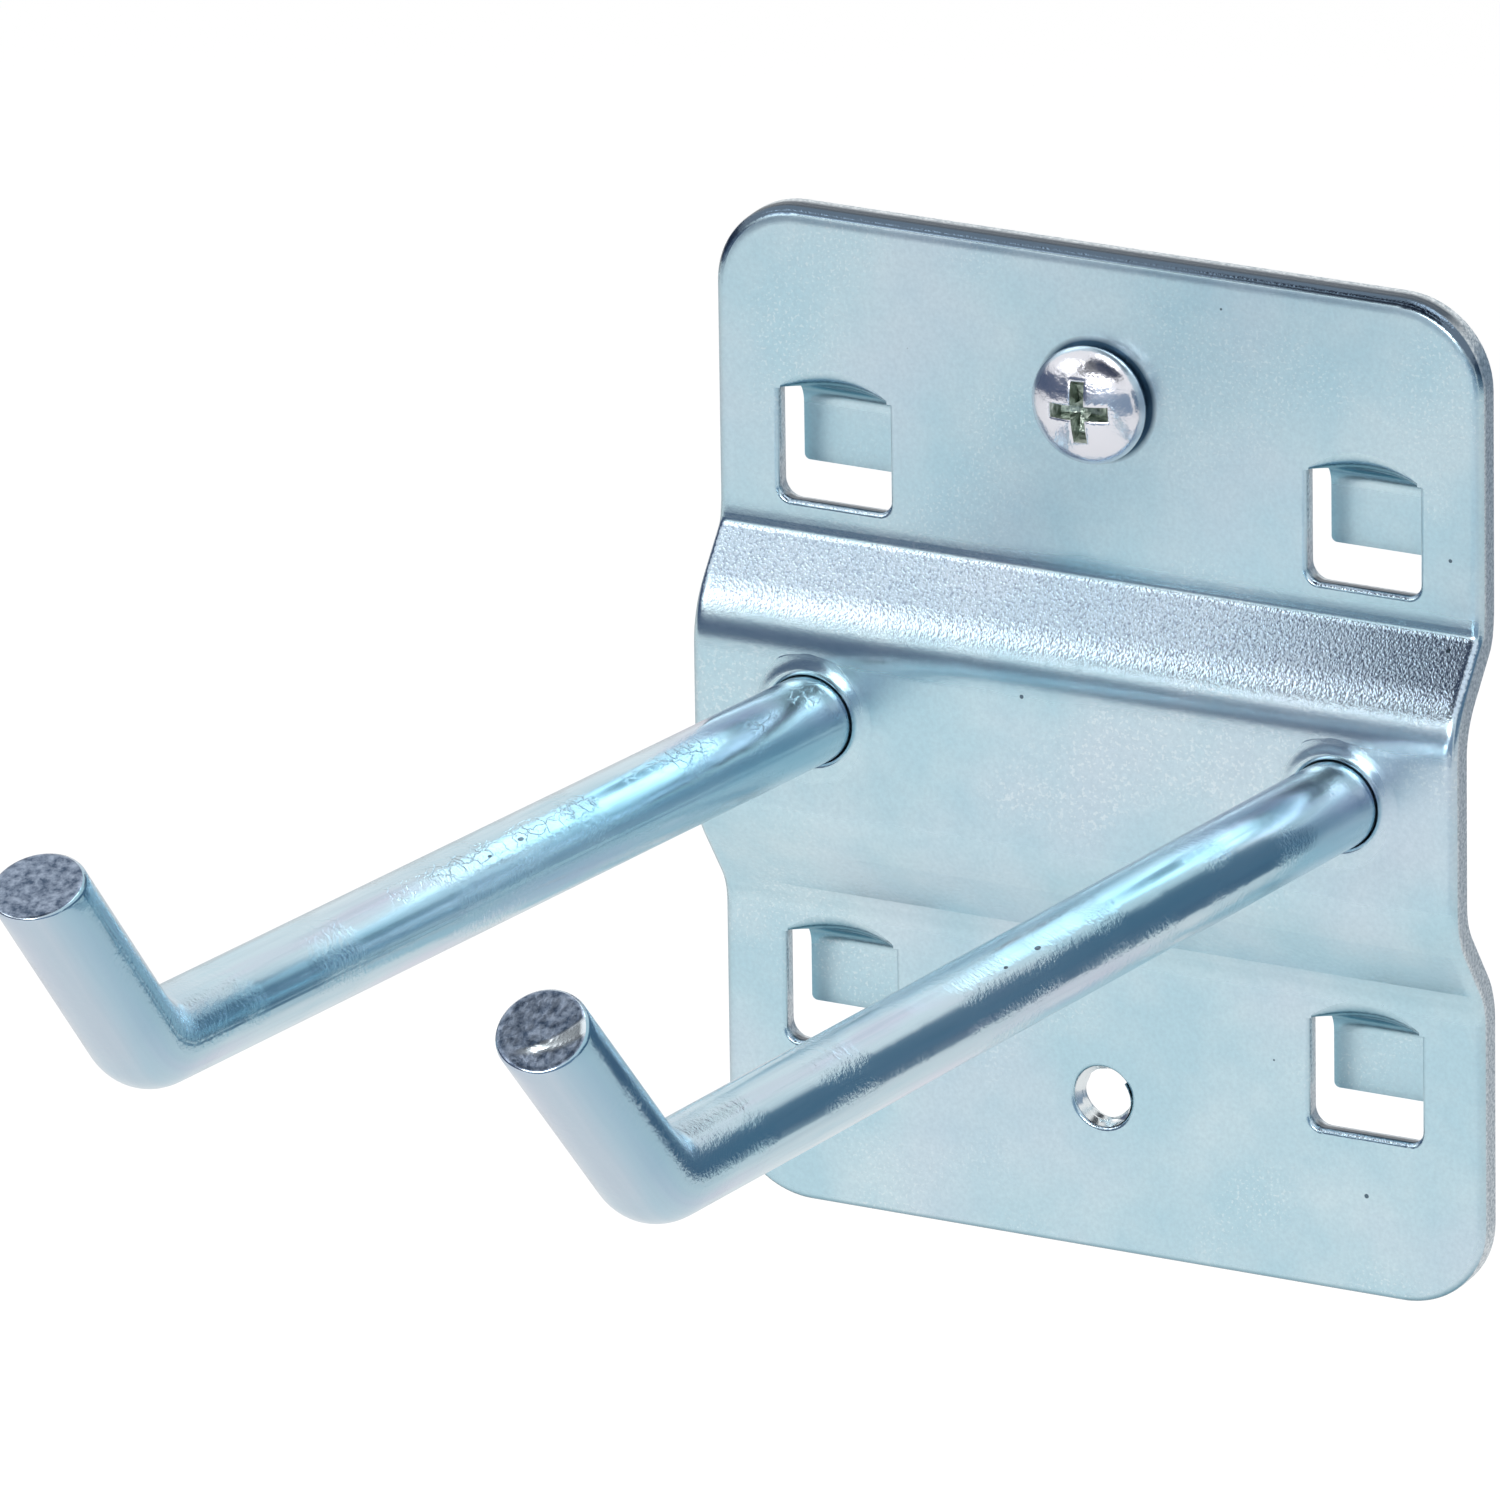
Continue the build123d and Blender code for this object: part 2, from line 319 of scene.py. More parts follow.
# Faces that turn down behind the front face, the heels of the lugs: they get a painted shade.
heel_shade = add(tree, "MapRange", {"Value": facing.outputs["Z"], "From Min": -0.2, "From Max": -0.65})
heel_shade = add(tree, "Math", {0: heel_shade.outputs[0], 1: behind.outputs[0]}, operation="MULTIPLY")
print("masks for sheared, stretched and heel:", len(tree.nodes), "nodes")

# %% Sheet: the shallow roll that the blanking die leaves along the outline
outline_width = 55 * mm
outline_height = 69.6 * mm
outline_radius = 6 * mm
roll_width = 0.95 * mm
roll_depth = 0.17 * mm
half = (outline_width / 2 - outline_radius, 0, outline_height / 2 - outline_radius)
sizes = add(tree, "VectorMath", {0: place}, operation="ABSOLUTE")
over = add(tree, "VectorMath", {0: sizes.outputs[0], 1: half}, operation="SUBTRACT")
over = add(tree, "VectorMath", {0: over.outputs[0], 1: (0, 0, 0)}, operation="MAXIMUM")
over = add(tree, "VectorMath", {0: over.outputs[0], 1: (1, 0, 1)}, operation="MULTIPLY")
reach = add(tree, "VectorMath", {0: over.outputs[0]}, operation="LENGTH")
roll = add(tree, "MapRange", {
    "Value": reach.outputs["Value"], "From Min": outline_radius - roll_width, "From Max": outline_radius,
})
roll = add(tree, "Math", {0: roll.outputs[0], 1: 2.0}, operation="POWER")
fallen = add(tree, "Math", {0: 1.0, 1: roll.outputs[0]}, operation="SUBTRACT")
print("roll starts", round(roll_width / mm, 2), "mm inside the outline and is", round(roll_depth / mm, 2), "mm deep")

# %% Sheet: clouds, stains, grain and painted glints
cloud = add(tree, "TexNoise", {"Vector": place, "Scale": per_mm / 9, "Detail": 4.0, "Roughness": 0.55})
cloud_share = add(tree, "MapRange", {"Value": cloud.outputs[0], "From Min": 0.38, "From Max": 0.64})
film = add(
    tree, "Mix", {0: cloud_share.outputs[0], 6: linear("#B9D8E3"), 7: linear("#CEE3EA")}, data_type="RGBA"
)
stain = add(tree, "TexNoise", {"Vector": place, "Scale": per_mm / 17, "Detail": 2.0})
stain_share = add(
    tree, "MapRange", {"Value": stain.outputs[0], "From Min": 0.5, "From Max": 0.72, "To Max": 0.55}
)
film = add(tree, "Mix", {0: stain_share.outputs[0], 6: film.outputs[2], 7: linear("#CAD6E4")}, data_type="RGBA")
fine = add(tree, "TexNoise", {"Vector": place, "Scale": per_mm / 0.28, "Detail": 2.0, "Roughness": 0.6})
fine_share = add(tree, "MapRange", {"Value": fine.outputs[0], "From Min": 0.3, "From Max": 0.7, "To Max": 0.2})
film = add(tree, "Mix", {0: fine_share.outputs[0], 6: film.outputs[2], 7: linear("#8FA9B8")}, data_type="RGBA")
# Patches of tiny near-white specks: painted glints, where the zinc's grains would catch the light.
spark_place = add(tree, "TexNoise", {"Vector": place, "Scale": per_mm / 11, "Detail": 1.0})
spark_patch = add(tree, "MapRange", {"Value": spark_place.outputs[0], "From Min": 0.5, "From Max": 0.62})
painted_glint = add(tree, "TexNoise", {"Vector": place, "Scale": per_mm / 0.22, "Detail": 1.0})
painted_glint = add(tree, "MapRange", {"Value": painted_glint.outputs[0], "From Min": 0.58, "From Max": 0.66, "To Max": 0.36})
painted_glint = add(tree, "Math", {0: painted_glint.outputs[0], 1: spark_patch.outputs[0]}, operation="MULTIPLY")
film = add(tree, "Mix", {0: painted_glint.outputs[0], 6: film.outputs[2], 7: linear("#F0F8FA")}, data_type="RGBA")
print("plain film:", len(tree.nodes), "nodes so far")

# %% Sheet: stretched slope, painted shade on the heels of the lugs and round the screw, specks
upper_hole_z = 25.0 * mm
shade_ring_inner = 4.0 * mm           # where the ring of painted shade starts to fade, just outside the screw's head
shade_ring_outer = 4.4 * mm
peel = add(tree, "TexNoise", {"Vector": place, "Scale": per_mm / 0.2, "Detail": 2.0, "Roughness": 0.6})
strained = add(tree, "Math", {0: stretched.outputs[0], 1: 0.6}, operation="MULTIPLY")
film = add(tree, "Mix", {0: strained.outputs[0], 6: film.outputs[2], 7: linear("#C3D2E6")}, data_type="RGBA")
peel_dark = add(tree, "MapRange", {"Value": peel.outputs[0], "From Min": 0.5, "From Max": 0.68, "To Max": 0.6})
peel_dark = add(tree, "Math", {0: peel_dark.outputs[0], 1: stretched.outputs[0]}, operation="MULTIPLY")
film = add(tree, "Mix", {0: peel_dark.outputs[0], 6: film.outputs[2], 7: linear("#8496B0")}, data_type="RGBA")
# Dark teal on the heels of the lugs is painted shade.
film = add(tree, "Mix", {0: heel_shade.outputs[0], 6: film.outputs[2], 7: linear("#4F879B")}, data_type="RGBA")
# A ring of painted shade on the front face round the screw's head, where its seat shades the film.
from_screw = add(tree, "VectorMath", {0: place, 1: (0, 0, upper_hole_z)}, operation="SUBTRACT")
from_screw = add(tree, "VectorMath", {0: from_screw.outputs[0], 1: (1, 0, 1)}, operation="MULTIPLY")
from_screw = add(tree, "VectorMath", {0: from_screw.outputs[0]}, operation="LENGTH")
ring = add(tree, "MapRange", {
    "Value": from_screw.outputs["Value"], "From Min": shade_ring_outer, "From Max": shade_ring_inner, "To Max": 0.95,
})
front = add(tree, "MapRange", {"Value": depth.outputs["Y"], "From Min": -1.2 * mm, "From Max": -1.6 * mm})
ring = add(tree, "Math", {0: ring.outputs[0], 1: front.outputs[0]}, operation="MULTIPLY")
film = add(tree, "Mix", {0: ring.outputs[0], 6: film.outputs[2], 7: linear("#24445C")}, data_type="RGBA")
dots = add(tree, "TexVoronoi", {"Vector": place, "Scale": per_mm / 3.2})
dot_size = add(tree, "SeparateColor", {0: dots.outputs["Color"]})
dot_reach = add(tree, "MapRange", {"Value": dot_size.outputs[0], "From Min": 0.62, "From Max": 1.0, "To Max": 0.06})
dot = add(tree, "Math", {0: dots.outputs["Distance"], 1: dot_reach.outputs[0]}, operation="LESS_THAN")
film = add(tree, "Mix", {0: dot.outputs[0], 6: film.outputs[2], 7: linear("#5C6F7C")}, data_type="RGBA")
print("with its marks:", len(tree.nodes), "nodes so far")

# %% Sheet: torn edges and the painted dark reflection along the top rim
rim_outer = 0.4 * mm            # the painted dark reflection on the top rim is darkest from here to the outline
rim_inner = 0.6 * mm
torn = add(tree, "TexNoise", {"Vector": place, "Scale": per_mm / 0.25, "Detail": 3.0, "Roughness": 0.7})
torn_share = add(tree, "MapRange", {"Value": torn.outputs[0], "From Min": 0.36, "From Max": 0.62})
torn_grey = add(
    tree, "Mix", {0: torn_share.outputs[0], 6: linear("#A5B1B9"), 7: linear("#E4EAED")}, data_type="RGBA"
)
# The torn band is darkened only where torn faces look up: partly the real fracture band, partly painted shade.
fracture_and_shade = add(tree, "MapRange", {"Value": depth.outputs["Y"], "From Min": -0.35 * mm, "From Max": -0.75 * mm})
top_face_shade = add(tree, "MapRange", {"Value": facing.outputs["Z"], "From Min": 0.6, "From Max": 0.85})
fracture_and_shade = add(tree, "Math", {0: fracture_and_shade.outputs[0], 1: top_face_shade.outputs[0]}, operation="MULTIPLY")
torn_grey = add(
    tree, "Mix", {0: fracture_and_shade.outputs[0], 6: torn_grey.outputs[2], 7: linear("#4C5762")}, data_type="RGBA"
)
# Along the top only, the rolled outline is painted dark: a painted dark reflection, not a darker zinc.
rim = add(tree, "MapRange", {
    "Value": reach.outputs["Value"], "From Min": outline_radius - rim_inner, "From Max": outline_radius - rim_outer,
})
rim_top = add(tree, "MapRange", {"Value": facing.outputs["Z"], "From Min": 0.06, "From Max": 0.25})
rim = add(tree, "Math", {0: rim.outputs[0], 1: rim_top.outputs[0]}, operation="MULTIPLY")
rim_high = add(tree, "MapRange", {"Value": depth.outputs["Z"], "From Min": 24 * mm, "From Max": 27 * mm})
rim = add(tree, "Math", {0: rim.outputs[0], 1: rim_high.outputs[0]}, operation="MULTIPLY")
film = add(tree, "Mix", {0: rim.outputs[0], 6: film.outputs[2], 7: linear("#5E6F80")}, data_type="RGBA")
sheet_colour = add(
    tree, "Mix", {0: sheared.outputs[0], 6: film.outputs[2], 7: torn_grey.outputs[2]}, data_type="RGBA"
)
print("with its edges:", len(tree.nodes), "nodes so far")

# %% Sheet: gloss and relief
satin = add(
    tree, "MapRange", {"Value": cloud.outputs[0], "From Min": 0.3, "From Max": 0.7, "To Min": 0.28, "To Max": 0.34}
)
upright = add(tree, "Math", {0: facing.outputs["Z"]}, operation="ABSOLUTE")
bent = add(tree, "MapRange", {"Value": upright.outputs[0], "From Min": 0.02, "From Max": 0.14})
satin = add(tree, "Mix", {0: bent.outputs[0], 2: satin.outputs[0], 3: 0.21})
satin = add(tree, "Mix", {0: stretched.outputs[0], 2: satin.outputs[0], 3: 0.17})
sheet_rough = add(tree, "Mix", {0: sheared.outputs[0], 2: satin.outputs[0], 3: 0.38})
peel_height = add(tree, "Math", {0: peel.outputs[0], 1: stretched.outputs[0]}, operation="MULTIPLY")
relief = add(tree, "Bump", {"Height": fallen.outputs[0], "Distance": roll_depth})
relief = add(
    tree, "Bump", {"Height": peel_height.outputs[0], "Distance": 0.036 * mm, "Normal": relief.outputs[0]}
)
relief = add(tree, "Bump", {"Height": fine.outputs[0], "Distance": 0.004 * mm, "Normal": relief.outputs[0]})
torn_height = add(tree, "Math", {0: torn.outputs[0], 1: sheared.outputs[0]}, operation="MULTIPLY")
relief = add(
    tree, "Bump", {"Height": torn_height.outputs[0], "Distance": 0.03 * mm, "Normal": relief.outputs[0]}
)
shader = add(tree, "BsdfPrincipled", {
    "Base Color": sheet_colour.outputs[2], "Metallic": 1.0, "Roughness": sheet_rough.outputs[0],
    "Normal": relief.outputs[0],
})
add(tree, "OutputMaterial", {"Surface": shader.outputs[0]})
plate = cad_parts["base_plate"]
plate.data.materials.clear()
plate.data.materials.append(sheet_finish)
print("plate finish has", len(tree.nodes), "nodes")

# %% [markdown]
# ## The bars
# Each bar is drawn wire: pulled through a die, cut off, bent once at the end, put through the plate, headed over behind
# it, and plated with it. Drawing leaves streaks that run along the bar and follow it round the bend, so the finish
# needs to know where a point lay on the straight bar. The piece is made as the real one is: a ring of points is
# pulled along the straight, turned through the bend, pulled on along the tip, and sheared off by a plane. Each point
# then keeps its place on the unbent bar as an attribute, and the shader reads it. Cropping tears the end, so the end
# face gets real relief, and the right one the step where the blade slipped. The rear head is a plain upset disc.

# %% Bar sizes, as the solids have them
bar_radius = 3.0 * mm
bar_spacing = 37.8 * mm
bar_z = 1.4 * mm
bar_length = 96.4 * mm
bend_radius = 6.0 * mm
tip_length = 20.4 * mm
bar_toe = radians(0.8)
band_front = -6.05 * mm
band_back = -4.3 * mm
head_radius = 3.9 * mm
head_thickness = 1.6 * mm
head_edge = 0.7 * mm
end_edge = 0.4 * mm
bar_sides = 64
run_steps = 24
bend_steps = 20
tip_steps = 5


def heading(rise, toe):
    """Unit vector out from the plate at this rise, turned in by the toe."""
    return Vector((cos(rise) * sin(toe), -cos(rise) * cos(toe), sin(rise)))


print("bars", round(2 * bar_radius / mm, 1), "mm thick, bent", round(bar_length / mm, 1), "mm from the plate")

# %% Bar: pull, bend and crop
def pull(bm, ring, way):
    """Pull an open ring of edges along a vector and give back the new ring."""
    made = bmesh.ops.extrude_edge_only(bm, edges=ring)["geom"]
    verts = [g for g in made if isinstance(g, bmesh.types.BMVert)]
    bmesh.ops.translate(bm, vec=way, verts=verts)
    fresh = set(verts)
    return [g for g in made if isinstance(g, bmesh.types.BMEdge) and set(g.verts) <= fresh]


def bent_bar(side, lean, tip_rise, end_cut, step):
    """One bar with its cropped end and rear head, as a bmesh with its place on the unbent bar kept per point."""
    toe = -side * bar_toe
    run, tip_run = heading(lean, toe), heading(tip_rise, toe)
    foot = Vector((side * bar_spacing / 2, band_front, bar_z))
    root = foot + run * ((band_back - band_front) / run.y)
    start = root - run * head_thickness / 2
    corner = foot + run * bar_length
    end = corner + tip_run * tip_length
    turn = tip_rise - lean
    reach = bend_radius * tan(turn / 2)
    across = run.cross(Vector((0, 0, 1))).normalized()
    upward, tip_upward = across.cross(run), across.cross(tip_run)
    bend_start = corner - run * reach
    centre = bend_start + upward * bend_radius
    straight = (bend_start - start).length

    bm = bmesh.new()
    stand = Matrix((across, upward, run)).transposed().to_4x4()
    stand.translation = start
    bmesh.ops.create_circle(bm, segments=bar_sides, radius=bar_radius, matrix=stand)
    ring = bm.edges[:]
    for _ in range(run_steps):
        ring = pull(bm, ring, run * straight / run_steps)
    ring_verts = list(dict.fromkeys(v for e in ring for v in e.verts))
    turned = bmesh.ops.spin(bm, geom=ring + ring_verts, cent=centre, axis=across, angle=turn, steps=bend_steps)
    ring = [g for g in turned["geom_last"] if isinstance(g, bmesh.types.BMEdge)]
    for _ in range(tip_steps + 1):              # one step too far, so that the shear has a bar to cut
        ring = pull(bm, ring, tip_run * tip_length / tip_steps)
    shear = heading(tip_rise + end_cut, toe)
    cut = bmesh.ops.bisect_plane(
        bm, geom=bm.verts[:] + bm.edges[:] + bm.faces[:], plane_co=end, plane_no=shear, clear_outer=True
    )
    rim = [g for g in cut["geom_cut"] if isinstance(g, bmesh.types.BMEdge)]
    bmesh.ops.edgeloop_fill(bm, edges=rim)
    bmesh.ops.recalc_face_normals(bm, faces=bm.faces)
    bmesh.ops.bevel(bm, geom=rim, offset=end_edge, segments=3, profile=0.5, affect="EDGES", material=-1)
    tear_end(bm, end, shear, across, tip_run, step)
    keep_place(bm, start, straight, centre, turn, run, tip_run, across, upward, tip_upward)
    head_behind(bm, root)
    return bm


# %% Bar: torn end with its step, in millimetres
torn_cuts = 13                  # how often each spoke of the end face is divided
torn_within = 0.01              # points this near the cut lie on it
torn_mean, torn_spread = 0.06, 0.05
torn_fine, torn_coarse = 0.55, 1.4
slip_cos, slip_sin = 0.8, 0.6   # which way the step runs across the face
slip_along, slip_beyond = 0.55, -6.3    # middle of the arc that the step follows
slip_arc = 7.5
slip_width, slip_widening, slip_least = 0.75, 0.17, 0.3
slip_start, slip_rise = -2.6, 1.2       # the step rises to its full height over this stretch


def slipped(offset, across, lower):
    """How far down the step a point of the end face lies, from 0 to 1, and how high the step is there."""
    right, down = -offset.dot(across) / mm, offset.dot(lower) / mm
    along = slip_cos * right - slip_sin * down - slip_along
    beyond = slip_sin * right + slip_cos * down - slip_beyond
    width = max(slip_least, slip_width + slip_widening * along)
    share = 0.5 + ((along * along + beyond * beyond) ** 0.5 - slip_arc) / width
    return max(0.0, min(1.0, share)), max(0.0, min(1.0, (along - slip_start) / slip_rise))


def on_cut(face, end, shear):
    """Whether a face lies in the plane of the cut."""
    return abs((face.calc_center_median() - end).dot(shear)) < torn_within * mm


def tear_end(bm, end, shear, across, tip_run, step):
    """Give the cropped face a fine grid and move its points to a torn, stepped surface with the second material."""
    layer = bm.verts.layers.float.new("burnish_and_highlight")
    cap = max(bm.faces, key=lambda face: face.calc_center_median().dot(shear))
    bmesh.ops.poke(bm, faces=[cap])
    spokes = [f for f in bm.faces if on_cut(f, end, shear) and len(f.verts) == 3]
    edges = list(dict.fromkeys(e for f in spokes for e in f.edges))
    bmesh.ops.subdivide_edges(bm, edges=edges, cuts=torn_cuts, use_grid_fill=True)
    torn_faces = [f for f in bm.faces if on_cut(f, end, shear)]
    lower = shear.cross(across)
    for face in torn_faces:
        face.material_index = 1
    torn_verts = {v for f in torn_faces for v in f.verts}
    for vert in bm.verts:
        offset = vert.co - end
        if offset.dot(shear) < -2 * end_edge:
            continue
        share, full = slipped(offset, across, lower)
        # The step's wall is partly burnished and partly given a painted highlight.
        vert[layer] = full * min(1.0, 6 * share * (1 - share)) if step else 0.0
        if vert in torn_verts:
            inside = max(0.0, 1 - offset.length / (bar_radius - end_edge)) ** 0.4
            grain = noise.noise(vert.co / (torn_fine * mm)) + 0.7 * noise.noise(vert.co / (torn_coarse * mm))
            vert.co += shear * (torn_spread * grain - torn_mean) * mm * inside * (1 - vert[layer])
        vert.co -= tip_run * step * mm * share * full


# %% Bar: place on the unbent bar, rear head
def keep_place(bm, start, straight, centre, turn, run, tip_run, across, upward, tip_upward):
    """Store, for each point, where it lay on the bar before bending: sideways, upwards and along."""
    layer = bm.verts.layers.float_vector.new("drawn")
    for vert in bm.verts:
        along = (vert.co - start).dot(run)
        lever = vert.co - centre
        angle = atan2(lever.dot(run), -lever.dot(upward))
        side = (vert.co - start).dot(across)
        if along <= straight:
            height = (vert.co - start).dot(upward)
        elif angle < turn:
            height = bend_radius - (lever - across * lever.dot(across)).length
            along = straight + bend_radius * angle
        else:
            height = bend_radius + lever.dot(tip_upward)
            along = straight + bend_radius * turn + lever.dot(tip_run)
        vert[layer] = (side, height, along)


def head_behind(bm, root):
    """Add the upset head that holds the bar behind the raised band."""
    layer = bm.verts.layers.float_vector["drawn"]
    seat = Matrix.Translation(root) @ Matrix.Rotation(-pi / 2, 4, "X")
    disc = bmesh.ops.create_circle(bm, cap_ends=True, segments=48, radius=head_radius, matrix=seat)["verts"]
    face = disc[0].link_faces[0]
    top = bmesh.ops.extrude_face_region(bm, geom=[face])["geom"]
    lifted = [g for g in top if isinstance(g, bmesh.types.BMVert)]
    bmesh.ops.translate(bm, vec=(0, head_thickness, 0), verts=lifted)
    rim = [g for g in top if isinstance(g, bmesh.types.BMEdge)]
    bmesh.ops.bevel(bm, geom=rim, offset=head_edge, segments=4, profile=0.5, affect="EDGES", material=-1)
    for vert in bm.verts:
        if vert[layer].length == 0:             # a point of the head, which was never on the bar
            vert[layer] = vert.co - root
    bmesh.ops.recalc_face_normals(bm, faces=bm.faces)


# %% [markdown]
# The bar's finish is the same blue zinc, brighter than on the sheet because drawn wire is smooth. It shows long
# streaks from the die, slow bands where the film is thicker and turns from teal to lavender, patches of fine crackle,
# and small dark nicks. The left bar also has hair cracks near its crown and one long line that the die drew along it.
# The cropped end is torn steel under the same zinc: dull, dark and mottled, and bright on the step where the blade
# slipped, partly a burnished band and partly a painted highlight.

# %% Bar: film and streaks
bar_finish, tree = new_material("blue-passivated zinc on drawn steel wire")
place = add(tree, "Attribute", attribute_name="drawn").outputs["Vector"]
lie = add(tree, "SeparateXYZ", {0: place})      # X across, Y up and Z along the unbent bar
streak_place = add(tree, "VectorMath", {0: place, 1: (per_mm / 0.45, per_mm / 0.45, per_mm / 16)}, operation="MULTIPLY")
streak = add(tree, "TexNoise", {"Vector": streak_place.outputs[0], "Scale": 1.0, "Detail": 3.0, "Roughness": 0.6})
band_place = add(tree, "VectorMath", {0: place, 1: (per_mm / 3.2, per_mm / 3.2, per_mm / 34)}, operation="MULTIPLY")
band = add(tree, "TexNoise", {"Vector": band_place.outputs[0], "Scale": 1.0, "Detail": 3.0, "Roughness": 0.5})
teal_share = add(tree, "MapRange", {"Value": band.outputs[0], "From Min": 0.34, "From Max": 0.52})
film = add(tree, "Mix", {0: teal_share.outputs[0], 6: linear("#A9CDDB"), 7: linear("#C2D8E2")}, data_type="RGBA")
lavender = add(tree, "MapRange", {"Value": band.outputs[0], "From Min": 0.54, "From Max": 0.7, "To Max": 0.8})
film = add(tree, "Mix", {0: lavender.outputs[0], 6: film.outputs[2], 7: linear("#C6C8DC")}, data_type="RGBA")
streak_share = add(
    tree, "MapRange", {"Value": streak.outputs[0], "From Min": 0.48, "From Max": 0.72, "To Max": 0.16}
)
film = add(tree, "Mix", {0: streak_share.outputs[0], 6: film.outputs[2], 7: linear("#7F9DB2")}, data_type="RGBA")
# The tip takes its own pale tone, and one side of it is darker: painted shade across the tip.
tip_share = add(
    tree, "MapRange", {"Value": lie.outputs["Z"], "From Min": 92 * mm, "From Max": 104 * mm, "To Max": 0.75}
)
tip_side_shade = add(tree, "MapRange", {"Value": lie.outputs["X"], "From Min": -1.4 * mm, "From Max": -2.9 * mm})
tip_film_and_shade = add(tree, "Mix", {0: tip_side_shade.outputs[0], 6: linear("#BCC8D5"), 7: linear("#8CB6CA")}, data_type="RGBA")
film = add(tree, "Mix", {0: tip_share.outputs[0], 6: film.outputs[2], 7: tip_film_and_shade.outputs[2]}, data_type="RGBA")
print("bar film:", len(tree.nodes), "nodes so far")

# %% Bar: hair cracks and nicks
crown_side = -1.3 * mm          # the cracks lie along this line, a little to one side
patch = add(tree, "TexNoise", {"Vector": place, "Scale": per_mm / 7, "Detail": 1.0})
patch_share = add(tree, "MapRange", {"Value": patch.outputs[0], "From Min": 0.42, "From Max": 0.6})
crack_place = add(tree, "VectorMath", {0: place, 1: (per_mm / 0.8, per_mm / 0.8, per_mm / 1.7)}, operation="MULTIPLY")
crack_bend = add(tree, "TexNoise", {"Vector": crack_place.outputs[0], "Scale": 1.6, "Detail": 2.0})
crack_place = add(tree, "VectorMath", {0: crack_place.outputs[0], 1: crack_bend.outputs["Color"]}, operation="ADD")
crack = add(tree, "TexVoronoi", {"Vector": crack_place.outputs[0], "Scale": 1.0}, feature="DISTANCE_TO_EDGE")
crack = add(tree, "MapRange", {"Value": crack.outputs["Distance"], "From Min": 0.07, "From Max": 0.0})
crack_patch = add(tree, "MapRange", {"Value": patch.outputs[0], "From Min": 0.4, "From Max": 0.56})
crack = add(tree, "Math", {0: crack.outputs[0], 1: crack_patch.outputs[0]}, operation="MULTIPLY")
on_run = add(tree, "MapRange", {"Value": lie.outputs["Z"], "From Min": 82 * mm, "From Max": 66 * mm})
crack = add(tree, "Math", {0: crack.outputs[0], 1: on_run.outputs[0]}, operation="MULTIPLY")
from_crown = add(tree, "Math", {0: lie.outputs["X"], 1: crown_side}, operation="SUBTRACT")
from_crown = add(tree, "Math", {0: from_crown.outputs[0]}, operation="ABSOLUTE")
near_crown = add(tree, "MapRange", {"Value": from_crown.outputs[0], "From Min": 1.0 * mm, "From Max": 0.4 * mm})
crack = add(tree, "Math", {0: crack.outputs[0], 1: near_crown.outputs[0]}, operation="MULTIPLY")
here = add(tree, "SeparateXYZ", {0: add(tree, "TexCoord").outputs["Object"]})
left_only = add(tree, "Math", {0: here.outputs["X"], 1: 0.0}, operation="LESS_THAN")
crack = add(tree, "Math", {0: crack.outputs[0], 1: left_only.outputs[0]}, operation="MULTIPLY")
crack_dark = add(tree, "Math", {0: crack.outputs[0], 1: 0.32}, operation="MULTIPLY")
film = add(tree, "Mix", {0: crack_dark.outputs[0], 6: film.outputs[2], 7: linear("#5F7C92")}, data_type="RGBA")
nick_place = add(tree, "VectorMath", {0: place, 1: (per_mm / 1.6, per_mm / 1.6, per_mm / 4.2)}, operation="MULTIPLY")
nicks = add(tree, "TexVoronoi", {"Vector": nick_place.outputs[0], "Scale": 1.0})
nick_size = add(tree, "SeparateColor", {0: nicks.outputs["Color"]})
nick_reach = add(tree, "MapRange", {"Value": nick_size.outputs[0], "From Min": 0.72, "From Max": 1.0, "To Max": 0.11})
nick = add(tree, "Math", {0: nicks.outputs["Distance"], 1: nick_reach.outputs[0]}, operation="LESS_THAN")
bar_colour = add(tree, "Mix", {0: nick.outputs[0], 6: film.outputs[2], 7: linear("#4A5863")}, data_type="RGBA")
print("with its marks:", len(tree.nodes), "nodes so far")

# %% Bar: gloss, crackle and the die's line
line_low, line_middle, line_high = 0.1 * mm, 0.26 * mm, 0.42 * mm
bar_rough = add(
    tree, "MapRange", {"Value": streak.outputs[0], "From Min": 0.3, "From Max": 0.7, "To Min": 0.15, "To Max": 0.2}
)
relief = add(tree, "Bump", {"Height": streak.outputs[0], "Distance": 0.003 * mm})
crackle = add(tree, "TexNoise", {"Vector": place, "Scale": per_mm / 0.42, "Detail": 3.0, "Roughness": 0.65})
crackle_height = add(tree, "Math", {0: crackle.outputs[0], 1: patch_share.outputs[0]}, operation="MULTIPLY")
relief = add(
    tree, "Bump", {"Height": crackle_height.outputs[0], "Distance": 0.05 * mm, "Normal": relief.outputs[0]}
)
relief = add(
    tree, "Bump", {"Height": crack.outputs[0], "Distance": 0.03 * mm, "Normal": relief.outputs[0]}, invert=True
)
line_near = add(tree, "MapRange", {"Value": lie.outputs["Y"], "From Min": line_low, "From Max": line_middle})
line_far = add(tree, "MapRange", {"Value": lie.outputs["Y"], "From Min": line_high, "From Max": line_middle})
line = add(tree, "Math", {0: line_near.outputs[0], 1: line_far.outputs[0]}, operation="MINIMUM")
line_side = add(tree, "MapRange", {"Value": lie.outputs["X"], "From Min": -2.0 * mm, "From Max": -2.6 * mm})
line = add(tree, "Math", {0: line.outputs[0], 1: line_side.outputs[0]}, operation="MULTIPLY")
line = add(tree, "Math", {0: line.outputs[0], 1: left_only.outputs[0]}, operation="MULTIPLY")
line = add(tree, "Math", {0: line.outputs[0], 1: band.outputs[0]}, operation="MULTIPLY")
relief = add(
    tree, "Bump", {"Height": line.outputs[0], "Distance": 0.02 * mm, "Normal": relief.outputs[0]}, invert=True
)
